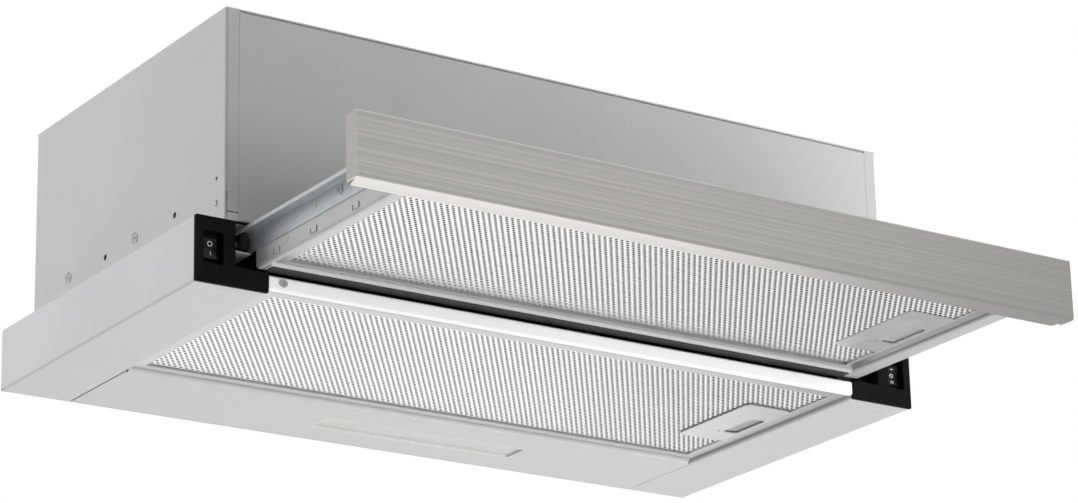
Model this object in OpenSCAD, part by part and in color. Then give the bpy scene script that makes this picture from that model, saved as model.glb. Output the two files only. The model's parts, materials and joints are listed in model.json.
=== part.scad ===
// Pull out range hood: a built-in hood with a telescopic visor.
// Millimetres. +X to the right seen from the front, +Y to the back, +Z up.
// Sizes below are measured from the front plane of the casing (y = 0) and its underside (z = 0).
// The whole part is then moved so that the origin is at the centre of its footprint.
// The visor is drawn pulled out.

/* [Casing] */
// Overall width of the casing
casing_w = 598; // [580:1:640]
// Depth of the casing
casing_d = 286; // [284:1:320]
// Height of the casing
casing_h = 46; // [45:0.5:52]
// Width of each side rail underneath
rail_w = 55; // [53:0.5:60]
// Thickness of the folded sheet
sheet = 1; // [0.8:0.05:1.2]
// Bend radius of the folded sheet, at its middle line
bend_r = 1.5; // [1:0.1:2]
// Height of the front cross strip
strip_h = 13; // [12.5:0.5:15]
// Thickness of the end caps' face
cap_t = 2; // [1.6:0.1:3]

/* [Upper box] */
// Width of the ledge between the upper box and the casing's side
ledge_w = 22; // [20:0.5:24]
// Depth of the upper box
box_d = 282; // [278:1:284]
// Height of the upper box above the casing
box_h = 151; // [150:1:190]
// Width of the folded edges round the upper box's front and back
fold_w = 10; // [8:1:14]

/* [Visor] */
// How far the visor's front face stands in front of the casing
pull_out = 190; // [180:1:210]
// Distance of the panel's ends from the casing's sides
panel_inset = 9; // [4:0.5:12]
// Height of the front panel
panel_h = 44; // [42:1:60]
// Depth of the front panel's folded edges
panel_t = 18; // [16:1:22]
// Depth of the flanges at the panel's ends
panel_end = 14; // [10:0.5:16]
// Gap left between the closed panel and the casing
closing_gap = 1.5; // [1:0.5:3]
// Width of the folded flange under the tray's right side
tray_flange = 14; // [10:1:16]
// Width of the folded flange under the tray's left side
tray_flange_left = 5.5; // [5:0.5:14]
// Height of the tray's underside above the panel's
tray_rise = 2.6; // [1:0.1:3]

/* [Runners] */
// Height of the visor runners
runner_h = 15; // [13:0.5:17]
// Radius of the front rollers
front_roller_r = 8; // [7:0.1:8]
// Radius of the rear rollers
rear_roller_r = 9; // [9:0.1:9.6]
// Width of the runner rollers
roller_w = 6; // [5.5:0.1:6.2]
// Radius of the roller axles
axle_r = 2; // [1.5:0.1:3]
// Distance of the front rollers behind the casing's front
front_roller_y = 14; // [13:1:20]
// Distance of the rear rollers behind the casing's front, visor pulled out
rear_roller_y = 60; // [45:1:66]

/* [Filters] */
// Thickness of a filter cassette
filter_t = 9; // [8.5:0.5:9.5]
// Width of a filter's rolled edge
filter_edge = 10; // [8:0.5:12]
// Width of the visor filter's narrower front and rear edges
visor_edge = 4; // [3:0.5:6]
// Width of the visor filter's left edge
visor_edge_left = 8.5; // [8:0.5:12]
// How far the lower filter lies above the casing's underside
filter_recess = 3; // [2.5:0.5:3.5]
// Width of a filter's handle plate
handle_w = 40; // [36:1:48]
// Length of a filter's handle plate
handle_l = 88; // [70:1:110]
// Distance of the lower handle's middle behind the casing's front
lower_handle_y = 103; // [90:1:115]
// Distance of the visor handle's middle in front of the casing's front
visor_handle_y = 94; // [90:0.5:110]
// Number of mesh openings across a filter
mesh_columns = 30; // [20:2:36]
// Thickness of the mesh pack
mesh_t = 5; // [4:0.5:6]
// How far a latch slides
latch_travel = 4; // [3.8:0.1:4.2]

/* [Switches] */
// Distance of the switches' middle from the casing's side
switch_inset = 13.5; // [13:0.5:14]
// Width of the recess round a switch
switch_recess_w = 15; // [14.6:0.1:16]
// Height of the recess round a switch
switch_recess_h = 22.5; // [22:0.5:25]
// Tilt of a pressed rocker
rocker_tilt = 8; // [5:0.5:9]

/* [Lamp] */
// Length of the lamp
lamp_l = 178; // [150:1:220]
// Width of the lamp
lamp_w = 30; // [26:0.5:34]
// Distance of the lamp's middle to the right of the casing's middle
lamp_x = 25; // [-30:1:60]
// Number of light-emitting diodes
led_count = 12; // [8:1:16]

/* [Blower] */
// Outer radius of the fan wheel
wheel_r = 50; // [46:0.5:52]
// Number of blades
blade_count = 32; // [24:1:36]
// Inner width of the blower housing
scroll_w = 116; // [108:1:124]
// Length of the motor
motor_l = 60; // [50:1:64]
// Radius of the motor
motor_r = 30; // [26:0.5:32]
// Radius of the motor shaft
shaft_r = 4; // [3:0.25:5]
// Distance of the outlet's middle behind the casing's front
outlet_y = 165; // [155:1:170]
// Outer radius of the outlet collar
outlet_r = 59.5; // [58:0.25:62]
// Height of the outlet collar
outlet_h = 28; // [24:1:40]

/* [Side holes] */
// Height of the holes and screws in the upper box's sides
side_hole_z = 70; // [68:0.5:76]
// Distance of the first fixing hole behind the front
side_hole_y = 70; // [60:1:80]
// Distance between the two fixing holes
side_hole_gap = 101; // [90:1:110]
// Radius of the fixing holes
side_hole_r = 2.2; // [1.8:0.1:2.6]
// Radius of the dimples round the side screws
dimple_r = 4.8; // [4.4:0.1:5.4]
// Depth of the dimples
dimple_depth = 1.2; // [1:0.1:1.6]

/* [Hidden] */
$fn = 64;
e = 0.02;                 // overshoot of a cut past the face that it opens
play = 0.05;              // radial clearance of a turning pin
run_gap = 0.15;           // clearance between a roller and the track that it runs on
fit = 0.3;                // clearance between pieces that slide or drop in

half_w = casing_w / 2;
rail_in = half_w - rail_w;              // inner edge of a side rail
box_half = half_w - ledge_w;            // outer face of the upper box's side
box_top = casing_h + box_h;
panel_half = half_w - panel_inset;
panel_z = strip_h + 1;
panel_top = panel_z + panel_h;
panel_slant = 5.5;                      // how far the folded edges' rear corners are cut back
travel = pull_out - panel_t - closing_gap;
origin_y = (casing_d - pull_out) / 2;   // middle of the footprint

ledge_z = filter_recess + filter_t;     // top of the lower filter, where its stop flange lies
strip_z = filter_recess - 0.5;          // underside of the cross strip
stop_w = 7;                             // width of the flange that a filter stops against

tray_half = rail_in + 8;
tray_z = panel_z + tray_rise;
tray_top = casing_h - 5;
tray_front = -pull_out + sheet;
tray_rear = 2.5;
visor_recess = 2;
visor_filter_z = tray_z + visor_recess;
visor_lip = tray_half - tray_flange;    // inner face of the tray's filter lip on the right
visor_lip_left = tray_half - tray_flange_left;
visor_stop_z = visor_filter_z + filter_t;
visor_filter_front = -pull_out + panel_t + 1;
visor_filter_rear = tray_rear - 12;

runner_top = casing_h - 2;
runner_web = tray_half;                 // inner face of a runner's web
runner_reach = 9.8;                     // how far a runner's top flange stands out
runner_lip = 3.5;                       // depth of its turned-down edge
runner_rear = rear_roller_y + 10;
roller_in = runner_web + sheet + 2.3;   // inner end face of a roller
channel_web = tray_half + 15.5;         // inner face of a fixed channel's web
channel_top = casing_h - 0.2 - sheet;   // underside of its top flange
channel_floor = channel_top - 2 * (rear_roller_r + run_gap);
channel_front = cap_t + 1;
channel_rear = rear_roller_y + travel + rear_roller_r + 8;
channel_stand = 34;                     // height of its mounting flange above the casing
front_roller_z = runner_top - sheet - run_gap - front_roller_r;
rear_roller_z = channel_floor + run_gap + rear_roller_r;
stop_h = 5;                             // height of the stops in a channel's floor

switch_x = half_w - switch_inset;
switch_z = casing_h / 2 + 1.75;
switch_set_back = 4.5;                  // depth of the recess round a switch
rocker_y = switch_set_back + 3.5;
rocker_half_w = 5.4;
rocker_half_h = 7.6;
rocker_pin_r = 1.2;

// Filters: right side, front, rear, width of the front and rear edges, left side, width of its edge
lower_filter = [rail_in - 0.5, cap_t + 2.2, casing_d - 86, filter_edge, rail_in - 0.5, filter_edge];
visor_filter = [visor_lip - 0.5, visor_filter_front, visor_filter_rear, visor_edge,
    visor_lip_left - 0.5, visor_edge_left];
lamp_y = (lower_filter[2] + casing_d) / 2 + 0.5;
lamp_depth = 14;

wheel_y = outlet_y - outlet_r + 4.5;
scroll_wall = 2;
scroll_half = scroll_w / 2 + scroll_wall;   // outer face of the housing's side
outlet_half = outlet_r - 6.5;               // half the depth of the housing's outlet
scroll_start = 70;                      // angle of the tongue, from +Y towards +Z
scroll_r0 = wheel_r + 5;
scroll_r1 = wheel_r + 40;
wheel_z = casing_h + 4 + scroll_wall + scroll_radius(270);
blade_inner = wheel_r - 8;
wheel_half = scroll_half - 10;              // half the width of the fan wheel
eye_r = blade_inner + 4;
motor_rear = -scroll_half - 6;
motor_front = motor_rear + motor_l;
collar_wall = 1.8;
flap_z = box_top + 11;
flap_t = 1.2;
flap_pivot = 3.2;                       // distance of a flap's pivot from the collar's middle
gland_at = [box_half - 72, box_d - 47];

// ---------- shapes shared by the sub-parts ----------

// A radius of the blower housing's spiral at an angle from +Y towards +Z
function scroll_radius(angle) =
    scroll_r0 + (scroll_r1 - scroll_r0) * (angle - scroll_start) / (360 - scroll_start);

function unit(v) = v / norm(v);

function arc(centre, r, from, to, steps) =
    [for (i = [0:steps]) let (a = from + (to - from) * i / steps) centre + r * [cos(a), sin(a)]];

// Outline of a rectangle with rounded corners
function round_rect(low, high, r, steps = 4) = concat(
    arc(high - [r, r], r, 0, 90, steps),
    arc([low[0] + r, high[1] - r], r, 90, 180, steps),
    arc(low + [r, r], r, 180, 270, steps),
    arc([high[0] - r, low[1] + r], r, 270, 360, steps));

// Points of one bend between the straight lines a-b and b-c
function bend(a, b, c, r, steps = 3) =
    let (u = unit(a - b), v = unit(c - b), half = acos(u * v) / 2,
         centre = b + unit(u + v) * r / sin(half),
         start = b + u * r / tan(half) - centre, end = b + v * r / tan(half) - centre)
    [for (i = [0:steps]) centre + r * unit(start * (steps - i) / steps + end * i / steps)];

function bent_path(points, r) = concat([points[0]],
    [for (i = [1:len(points) - 2]) each bend(points[i - 1], points[i], points[i + 1], r)],
    [points[len(points) - 1]]);

function side_of(v) = [-v[1], v[0]];

// The path moved sideways by w, with mitred corners
function beside(path, w) = let (last = len(path) - 1) [for (i = [0:last])
    let (before = side_of(unit(path[max(i, 1)] - path[max(i, 1) - 1])),
         after = side_of(unit(path[min(i, last - 1) + 1] - path[min(i, last - 1)])))
    path[i] + w * (before + after) / (1 + before * after)];

function reversed(list) = [for (i = [len(list) - 1:-1:0]) list[i]];

// Section of a folded sheet along its middle line
module folded(points) {
    path = bent_path(points, bend_r);
    polygon(concat(beside(path, sheet / 2), reversed(beside(path, -sheet / 2))));
}

module block(low, high) {
    translate(low) cube(high - low);
}

// Sections given as (x, z), (y, z) and (x, y), extruded along the third axis
module along_y(y0, y1) {
    translate([0, y1, 0]) rotate([90, 0, 0]) linear_extrude(y1 - y0) children();
}

module along_x(x0, x1) {
    translate([x0, 0, 0]) rotate([90, 0, 90]) linear_extrude(x1 - x0) children();
}

module along_z(z0, z1) {
    translate([0, 0, z0]) linear_extrude(z1 - z0) children();
}

// A round bar or bore along X, from x0 to x1, through the point (y, z)
module bar_x(x0, x1, y, z, r) {
    translate([x0, y, z]) rotate([0, 90, 0]) cylinder(h = x1 - x0, r = r);
}

// A turned shape whose axis is X: its outline is given as (radius, x)
module turned_x(y, z) {
    translate([0, y, z]) rotate([0, 90, 0]) rotate_extrude() children();
}

// Draws a right-hand piece on either side: side is 1 for the right and -1 for the left
module on_side(side) {
    mirror([side < 0 ? 1 : 0, 0, 0]) children();
}

module placed() {
    translate([0, -origin_y, 0]) children();
}

// ---------- casing ----------

latch_slot = [5.6, 13];    // height and width of the slot that a latch bolt enters
bolt_z = 4.4;              // underside of a latch bolt above its filter's underside
tab_offset = 0.3;          // place of a filter's hooks, as a part of its depth from its middle

function filter_middle(f) = (f[1] + f[2]) / 2;
function hook_places(f) = [for (s = [-1, 1]) filter_middle(f) + s * tab_offset * (f[2] - f[1])];

// Slots for a filter's hooks or for its latch bolt, cut through a lip from x0 to x1
module lip_slots(x0, x1, places, z, width) {
    for (y = places)
        block([x0, y - width / 2, z + bolt_z - fit], [x1, y + width / 2, z + bolt_z + 2 + fit]);
}

module side_rail(side) {
    section = [[rail_in - stop_w, ledge_z + sheet / 2], [rail_in + sheet / 2, ledge_z + sheet / 2],
        [rail_in + sheet / 2, sheet / 2], [half_w - sheet / 2, sheet / 2],
        [half_w - sheet / 2, casing_h - sheet / 2], [box_half, casing_h - sheet / 2]];
    color("gainsboro") on_side(side) difference() {
        along_y(cap_t, casing_d - sheet) folded(section);
        if (side > 0)
            lip_slots(rail_in - 2, rail_in + 3, [lower_handle_y], filter_recess, latch_slot[1]);
        if (side < 0)
            lip_slots(rail_in - 2, rail_in + 3, hook_places(lower_filter), filter_recess, 14);
        // the stop flange gives way to the cross strip's and the rear panel's
        block([rail_in - stop_w - 1, 0, ledge_z - 1], [rail_in, 10, ledge_z + 3]);
        block([rail_in - stop_w - 1, lower_filter[2] - stop_w, ledge_z - 1],
              [rail_in, casing_d, ledge_z + 3]);
    }
}

module rear_panel() {
    front = lower_filter[2] + 0.5;
    section = [[front - stop_w, ledge_z + sheet / 2], [front + sheet / 2, ledge_z + sheet / 2],
        [front + sheet / 2, sheet / 2], [casing_d - sheet / 2, sheet / 2],
        [casing_d - sheet / 2, casing_h - sheet / 2], [box_d - sheet, casing_h - sheet / 2]];
    color("gainsboro") difference() {
        union() {
            along_x(-rail_in + fit, rail_in - fit) folded(section);
            block([-half_w, casing_d - sheet, 0], [half_w, casing_d, casing_h - 2]);
        }
        block([lamp_x - lamp_l / 2 - fit, lamp_y - lamp_w / 2 - fit, -1],
              [lamp_x + lamp_l / 2 + fit, lamp_y + lamp_w / 2 + fit, 3]);
        for (s = [-1, 1])
            translate([s * (rail_in - fit), front + 1, -1]) cylinder(h = 3, r = 1.8);
    }
}

strip_screw_x = rail_in - 11;
strip_screw_z = (strip_z + strip_h) / 2 + 0.6;

module front_strip() {
    section = [[9, ledge_z + sheet / 2], [sheet / 2, ledge_z + sheet / 2],
        [sheet / 2, strip_z + sheet / 2], [3, strip_z + sheet / 2]];
    color("white") difference() {
        along_x(-rail_in + fit, rail_in - fit) folded(section);
        translate([-strip_screw_x, -1, strip_screw_z]) rotate([-90, 0, 0]) cylinder(h = 3, r = 1.6);
    }
}

// Countersunk head with a cross recess, its face at the origin and its shank along +Z
module screw(head_r, head_h, shank_r, shank_l) {
    difference() {
        union() {
            cylinder(h = head_h, r = head_r);
            cylinder(h = head_h + shank_l, r = shank_r);
        }
        for (a = [0, 90])
            rotate(a) translate([-head_r * 0.55, -head_r * 0.12, -1])
                cube([head_r * 1.1, head_r * 0.24, 1 + head_h * 0.5]);
    }
}

module strip_screw() {
    color("silver") translate([-strip_screw_x, -1, strip_screw_z]) rotate([-90, 0, 0])
        screw(2.9, 1, 1.6, 3.2);
}

// Opening in an end cap, beside its switch, that the tray's side and runner pass through
module cap_opening() {
    polygon(round_rect([rail_in - 5, strip_h + 1], [tray_half + 17, casing_h - 1], 1));
}

module end_cap(side) {
    low = [switch_x - switch_recess_w / 2, switch_z - switch_recess_h / 2];
    high = [switch_x + switch_recess_w / 2, switch_z + switch_recess_h / 2];
    skirt_in = tray_half + 18;
    color([0.12, 0.12, 0.13]) on_side(side) difference() {
        union() {
            along_y(0, cap_t) difference() {
                polygon(round_rect([rail_in, 0], [half_w, casing_h], 1.2));
                cap_opening();
            }
            // skirt that plugs into the side rail
            along_y(cap_t - e, 12) difference() {
                polygon(round_rect([skirt_in, sheet + fit],
                                   [half_w - sheet - fit, casing_h - sheet - 0.2 - fit], 1));
                polygon(round_rect([skirt_in + 1.2, sheet + fit + 1.2],
                                   [half_w - sheet - fit - 1.2, casing_h - sheet - 1.7], 0.5));
            }
            // floor of the switch recess
            along_y(cap_t - e, switch_set_back + 2.4)
                polygon(round_rect(low - [1, 1], high + [1, 1], 1));
            // tongue behind the cross strip
            block([rail_in - 18, sheet, strip_z + 2.3], [rail_in - 0.1, cap_t + 1.5, ledge_z - 1]);
            block([rail_in - 1, sheet, strip_z + 2.3], [rail_in + 6, cap_t, ledge_z - 1]);
        }
        along_y(-1, switch_set_back + 1) polygon(round_rect(low, high, 0.6));
        block([switch_x - 6.5, 0, switch_z - 9.5], [switch_x + 6.5, 20, switch_z + 9.5]);
        translate([strip_screw_x, 0, strip_screw_z]) rotate([-90, 0, 0]) cylinder(h = 9, r = 1.6);
    }
}

module switch_housing(side, terminals) {
    color([0.1, 0.1, 0.1]) on_side(side) difference() {
        union() {
            along_y(switch_set_back, switch_set_back + 1)
                polygon(round_rect([switch_x - 7, switch_z - 10.5],
                                   [switch_x + 7, switch_z + 10.5], 1));
            along_y(switch_set_back + 1, switch_set_back + 18)
                polygon(round_rect([switch_x - 6.4, switch_z - 9.4],
                                   [switch_x + 6.4, switch_z + 9.4], 0.6));
            for (i = [0:terminals - 1])
                block([switch_x - 2.4, switch_set_back + 17, switch_z - 6.4 + 12 * i / (terminals - 1)],
                      [switch_x + 2.4, switch_set_back + 26, switch_z - 5.6 + 12 * i / (terminals - 1)]);
        }
        block([switch_x - rocker_half_w - fit, 0, switch_z - 8.5],
              [switch_x + rocker_half_w + fit, switch_set_back + 9.5, switch_z + 8.5]);
        bar_x(switch_x - 7.5, switch_x + 7.5, rocker_y, switch_z, rocker_pin_r + play);
    }
}

// A rocker turned about its pin: a positive tilt brings its upper end forward
module rocker(side, tilt) {
    outline = concat([[-4, rocker_half_h], [-2.8, 0], [-4, -rocker_half_h], [1.5, -6.8]],
                     arc([0, 0], 4.5, -60, 60, 6), [[1.5, 6.8]]);
    color([0.14, 0.14, 0.15]) on_side(side)
        translate([switch_x, rocker_y, switch_z]) rotate([tilt, 0, 0]) {
            along_x(-rocker_half_w, rocker_half_w) polygon(outline);
            bar_x(-rocker_half_w - 0.9, rocker_half_w + 0.9, 0, 0, rocker_pin_r);
        }
}

// ---------- upper box ----------

side_screws = [[side_hole_y + 57, side_hole_z + 1], [side_hole_y + 157, side_hole_z + 1]];
side_rivet = [13, side_hole_z - 9];
side_screw_r = 1.6;

// Cuts the fixing holes, the screws' and rivet's holes and the small corner hole
module side_holes() {
    for (y = [side_hole_y, side_hole_y + side_hole_gap])
        bar_x(box_half - 5, box_half + 5, y, side_hole_z, side_hole_r);
    for (place = concat(side_screws, [side_rivet]))
        bar_x(box_half - 5, box_half + 5, place[0], place[1], side_screw_r + 0.1);
    bar_x(box_half - 5, box_half + 5, 12, side_hole_z + 8, 1.4);
}

// A dimple pressed into a side, drawn as (radius, distance from the box's middle)
module dimple(y, z) {
    floor_r = dimple_r - 2;
    bottom = box_half - dimple_depth;
    turned_x(y, z) polygon([[side_screw_r + 0.1, bottom - sheet], [floor_r + 0.4, bottom - sheet],
        [dimple_r + 0.4, box_half - sheet], [dimple_r + 0.8, box_half - sheet],
        [dimple_r + 0.8, box_half], [dimple_r, box_half], [floor_r, bottom],
        [side_screw_r + 0.1, bottom]]);
}

module box_side(side) {
    section = [[box_half - fold_w, sheet / 2], [box_half - sheet / 2, sheet / 2],
        [box_half - sheet / 2, box_d - sheet / 2], [box_half - fold_w, box_d - sheet / 2]];
    color("silver") on_side(side) {
        for (place = side_screws) dimple(place[0], place[1]);
        difference() {
            union() {
                along_z(casing_h, box_top - sheet) folded(section);
                // foot inside the edge of the ledge
                block([box_half - sheet, channel_front, casing_h - sheet],
                      [box_half, box_d - 4, casing_h + 1]);
            }
            side_holes();
            for (place = side_screws)
                bar_x(box_half - 5, box_half + 5, place[0], place[1], dimple_r + 0.6);
            box_side_slits();
        }
    }
}

// Relief slits at the lower front corner
module box_side_slits() {
    block([box_half - bend_r - sheet / 2, -1, casing_h + 4], [box_half + 1, 0.8, casing_h + 20]);
    block([box_half - fold_w - 1, -1, casing_h + 5.6],
          [box_half - bend_r, sheet + 1, casing_h + 6.4]);
}

// Front or back plate of the upper box, drawn as the front one
module box_plate() {
    inner = box_half - fold_w - 0.2;
    section = [[12, box_top - 1.5 * sheet], [sheet / 2, box_top - 1.5 * sheet],
        [sheet / 2, casing_h + sheet / 2], [8, casing_h + sheet / 2]];
    along_x(-inner, inner) folded(section);
    for (s = [-1, 1])
        block([s > 0 ? inner - 8 : -box_half + 3 + sheet, sheet, casing_h + 24],
              [s > 0 ? box_half - 3 - sheet : -inner + 8, 2 * sheet, box_top - 2 * sheet - bend_r]);
}

module box_front() {
    color("silver") box_plate();
}

module box_back() {
    color("silver") translate([0, box_d, 0]) mirror([0, 1, 0]) box_plate();
}

collar_screw_r = outlet_r + 7;
collar_screws = [for (a = [45:90:315]) [0, outlet_y] + collar_screw_r * [cos(a), sin(a)]];
blower_screws = [for (x = [-1, 1], y = [-1, 1])
    [x * (scroll_half + 5.5), outlet_y + y * (outlet_half + 5.5)]];

// Cuts the top screws' holes through the collar, the top plate or the blower's flange
module top_holes(places) {
    for (place = places)
        translate([place[0], place[1], box_top - 5]) cylinder(h = 10, r = side_screw_r + 0.1);
}

module box_top_plate() {
    color("silver") difference() {
        block([-box_half, 0, box_top - sheet], [box_half, box_d, box_top]);
        translate([0, outlet_y, box_top - 3]) cylinder(h = 5, r = outlet_r - collar_wall);
        translate([gland_at[0], gland_at[1], box_top - 3]) cylinder(h = 5, r = 6.1);
        top_holes(collar_screws);
        top_holes(blower_screws);
    }
}

module side_screw_set() {
    color("silver") for (s = [-1, 1]) on_side(s) for (place = side_screws)
        translate([box_half - 0.1, place[0], place[1]]) rotate([0, -90, 0])
            screw(2.6, dimple_depth - 0.1, side_screw_r, 4.5);
}

module side_rivets() {
    color("silver") for (s = [-1, 1]) on_side(s)
        turned_x(side_rivet[0], side_rivet[1])
            polygon([[0, box_half - 3.6], [side_screw_r, box_half - 3.6], [side_screw_r, box_half],
                     [2.4, box_half], [2.1, box_half + 0.6], [1.2, box_half + 0.9],
                     [0, box_half + 0.9]]);
}

module top_screws() {
    color("silver") {
        for (place = collar_screws)
            translate([place[0], place[1], box_top + 3.6]) rotate([180, 0, 0])
                screw(3.2, 1.6, side_screw_r, 5.5);
        for (place = blower_screws)
            translate([place[0], place[1], box_top + 1.6]) rotate([180, 0, 0])
                screw(3.2, 1.6, side_screw_r, 6);
    }
}

// ---------- runners ----------

module channel(side) {
    chord = sqrt(pow(rear_roller_r, 2) - pow(rear_roller_r + run_gap - stop_h, 2));
    stand_x = box_half - dimple_depth - 1.5 * sheet;
    stand = [[stand_x, casing_h + channel_stand], [stand_x, channel_top + sheet / 2],
        [tray_half + 4, channel_top + sheet / 2]];
    track = [[channel_web + sheet / 2, channel_top + sheet / 2],
        [channel_web + sheet / 2, channel_floor - sheet / 2],
        [tray_half + 4, channel_floor - sheet / 2]];
    color("lightsteelblue") on_side(side) difference() {
        union() {
            along_y(channel_front, channel_rear) folded(stand);
            along_y(channel_front, channel_rear) folded(track);
            // axle of the front roller, with its rivet head
            bar_x(roller_in - 0.4, channel_web + e, front_roller_y, front_roller_z, axle_r);
            bar_x(roller_in - 0.9, roller_in - 0.3, front_roller_y, front_roller_z, axle_r + 1);
            // stops for the rear roller, bent up from the floor
            for (y = [rear_roller_y - chord - fit - sheet, rear_roller_y + travel + chord + fit])
                block([roller_in + 1, y, channel_floor - sheet / 2],
                      [roller_in + roller_w - 1, y + sheet, channel_floor + stop_h]);
        }
        side_holes();
    }
}

module roller(side, y, z, r) {
    color("whitesmoke") on_side(side) difference() {
        translate([roller_in, 0, 0]) turned_x(y, z)
            polygon([[0, 0], [r - 0.6, 0], [r, 0.6], [r, roller_w - 0.6], [r - 0.6, roller_w],
                     [0, roller_w]]);
        bar_x(roller_in - 1, roller_in + roller_w + 1, y, z, axle_r + play);
    }
}

module front_roller(side) {
    roller(side, front_roller_y, front_roller_z, front_roller_r);
}

module rear_roller(side) {
    roller(side, rear_roller_y, rear_roller_z, rear_roller_r);
}

runner_screws = [-107];
runner_screw_h = 1;        // height of their heads
runner_screw_z = runner_top - 7;

module visor_runner(side) {
    section = [[runner_web + sheet / 2, runner_top - runner_h],
        [runner_web + sheet / 2, runner_top - sheet / 2],
        [runner_web + runner_reach + sheet / 2, runner_top - sheet / 2],
        [runner_web + runner_reach + sheet / 2, runner_top - runner_lip]];
    color("lightsteelblue") on_side(side) difference() {
        union() {
            along_y(tray_front, runner_rear) folded(section);
            // axle of the rear roller, with its rivet head
            bar_x(runner_web + e, roller_in + roller_w + 0.4, rear_roller_y, rear_roller_z, axle_r);
            bar_x(roller_in + roller_w + 0.4, roller_in + roller_w + 1.2,
                  rear_roller_y, rear_roller_z, axle_r + 1);
            // embossed pads
            for (y = [-73, -27])
                block([runner_web + sheet - e, y - 4, runner_top - 9.5],
                      [runner_web + sheet + 0.4, y + 4, runner_top - 5.5]);
        }
        for (y = runner_screws)
            bar_x(runner_web - 5, runner_web + 5, y, runner_screw_z, 1.7);
        // the top flange ends in front of the rear roller, which fills the fixed channel
        block([runner_web + sheet + 0.5, rear_roller_y - rear_roller_r - 1.5, runner_top - runner_lip - 1],
              [runner_web + runner_reach + 2, runner_rear + 1, runner_top + 1]);
    }
}

module visor_screws() {
    color("silver") for (s = [-1, 1]) on_side(s) for (y = runner_screws)
        translate([runner_web + sheet + runner_screw_h, y, runner_screw_z]) rotate([0, -90, 0])
            screw(3.2, runner_screw_h, 1.6, 4);
}

// ---------- visor ----------

module front_panel() {
    section = [[-pull_out + panel_t, panel_z + sheet / 2], [-pull_out + sheet / 2, panel_z + sheet / 2],
        [-pull_out + sheet / 2, panel_top - sheet / 2], [-pull_out + panel_t, panel_top - sheet / 2]];
    color([0.68, 0.67, 0.65]) {
        difference() {
            along_x(-panel_half, panel_half) folded(section);
            // the folded edges are cut back at a slant beside the end flanges
            for (s = [-1, 1]) on_side(s) along_z(panel_z - 1, panel_top + 1)
                polygon([[panel_half - 0.5, -pull_out + 2.5], [panel_half + 1, -pull_out + 2.5],
                         [panel_half + 1, -pull_out + panel_t + 1],
                         [panel_half - panel_slant, -pull_out + panel_t + 1]]);
        }
        for (x = [-panel_half, panel_half - sheet])
            along_x(x, x + sheet)
                polygon(concat([[-pull_out + panel_end, panel_z], [-pull_out + panel_end, panel_top]],
                    arc([-pull_out + 2, panel_top - 2], 2, 90, 180, 3),
                    arc([-pull_out + 2, panel_z + 2], 2, 180, 270, 3)));
    }
}

lance_places = [-22.5, -70, -122.5];
lance_z = tray_z + 2.5;

// Middle line of the tray's folded side, from its filter stop up to its top
function tray_side(lip) = [[lip - stop_w, visor_stop_z + sheet / 2],
    [lip + sheet / 2, visor_stop_z + sheet / 2], [lip + sheet / 2, tray_z + sheet / 2],
    [tray_half - sheet / 2, tray_z + sheet / 2], [tray_half - sheet / 2, tray_top - sheet / 2]];

module visor_tray() {
    section = concat(tray_side(visor_lip),
        [for (p = reversed(tray_side(visor_lip_left))) [-p[0], p[1]]]);
    front = visor_filter[1] - 0.5 - sheet / 2;
    rear = visor_filter[2] + 0.5 + sheet / 2;
    color("gainsboro") difference() {
        union() {
            along_y(tray_front + bend_r, tray_rear) folded(section);
            // front wall with its filter lip, and rear lip with the flange that the seal grips
            along_x(-visor_lip_left, visor_lip)
                folded([[front + stop_w, visor_stop_z + sheet / 2], [front, visor_stop_z + sheet / 2],
                    [front, tray_z + sheet / 2], [tray_front + sheet / 2, tray_z + sheet / 2],
                    [tray_front + sheet / 2, tray_top - sheet]]);
            along_x(-visor_lip_left, visor_lip)
                folded([[rear - stop_w, visor_stop_z + sheet / 2], [rear, visor_stop_z + sheet / 2],
                    [rear, tray_z + sheet / 2], [tray_rear, tray_z + sheet / 2]]);
            // pressed-out halves of the lances
            for (s = [-1, 1]) on_side(s) for (y = lance_places)
                block([tray_half - e, y - 6, lance_z], [tray_half + 0.8, y, lance_z + 4]);
        }
        for (s = [-1, 1]) on_side(s) {
            for (y = lance_places)
                block([tray_half - 3, y, lance_z], [tray_half + 3, y + 2.5, lance_z + 4]);
            for (y = runner_screws)
                bar_x(tray_half - 5, tray_half + 5, y, runner_screw_z, 1.7);
        }
        lip_slots(visor_lip - 2, visor_lip + 3, [-visor_handle_y], visor_filter_z, latch_slot[1]);
        mirror([1, 0, 0])
            lip_slots(visor_lip_left - 2, visor_lip_left + 3, hook_places(visor_filter),
                      visor_filter_z, 14);
    }
}

module visor_seal() {
    back = tray_rear + 1.4;
    front = visor_filter[2] + 3;
    color([0.22, 0.22, 0.23]) along_x(-visor_lip_left + 2, visor_lip - 2) difference() {
        polygon(concat([[front, tray_z - 0.9], [front, tray_z + sheet + 1.2]],
            arc([back - 1.5, tray_z + sheet - 0.3], 1.5, 90, 0, 4),
            arc([back - 1, tray_z + 0.1], 1, 0, -90, 4)));
        translate([front - 1, tray_z]) square([tray_rear - front + 1, sheet]);
    }
}

// ---------- filters ----------

cup_l = 40;                // length of the latch cup along the filter's depth
cup_reach = 38;            // distance of the cup's far wall from the filter's edge
finger_l = 38;             // length of the finger slot
grip_back = 4;             // distance of the cup's middle behind the handle's
finger_w = 12.3;           // width of the finger slot
finger_in = 12;            // distance of the finger slot from the filter's edge
plate_z = 0.2;             // underside of the handle plate above the filter's underside

// Section of a rolled edge of width w
module rolled_edge(w) {
    polygon([[0, 1], [1, 0], [w - 0.6, 0], [w, 0.6], [w, filter_t - 0.6], [w - 0.6, filter_t],
        [1, filter_t], [0, filter_t - 1]]);
}

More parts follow.
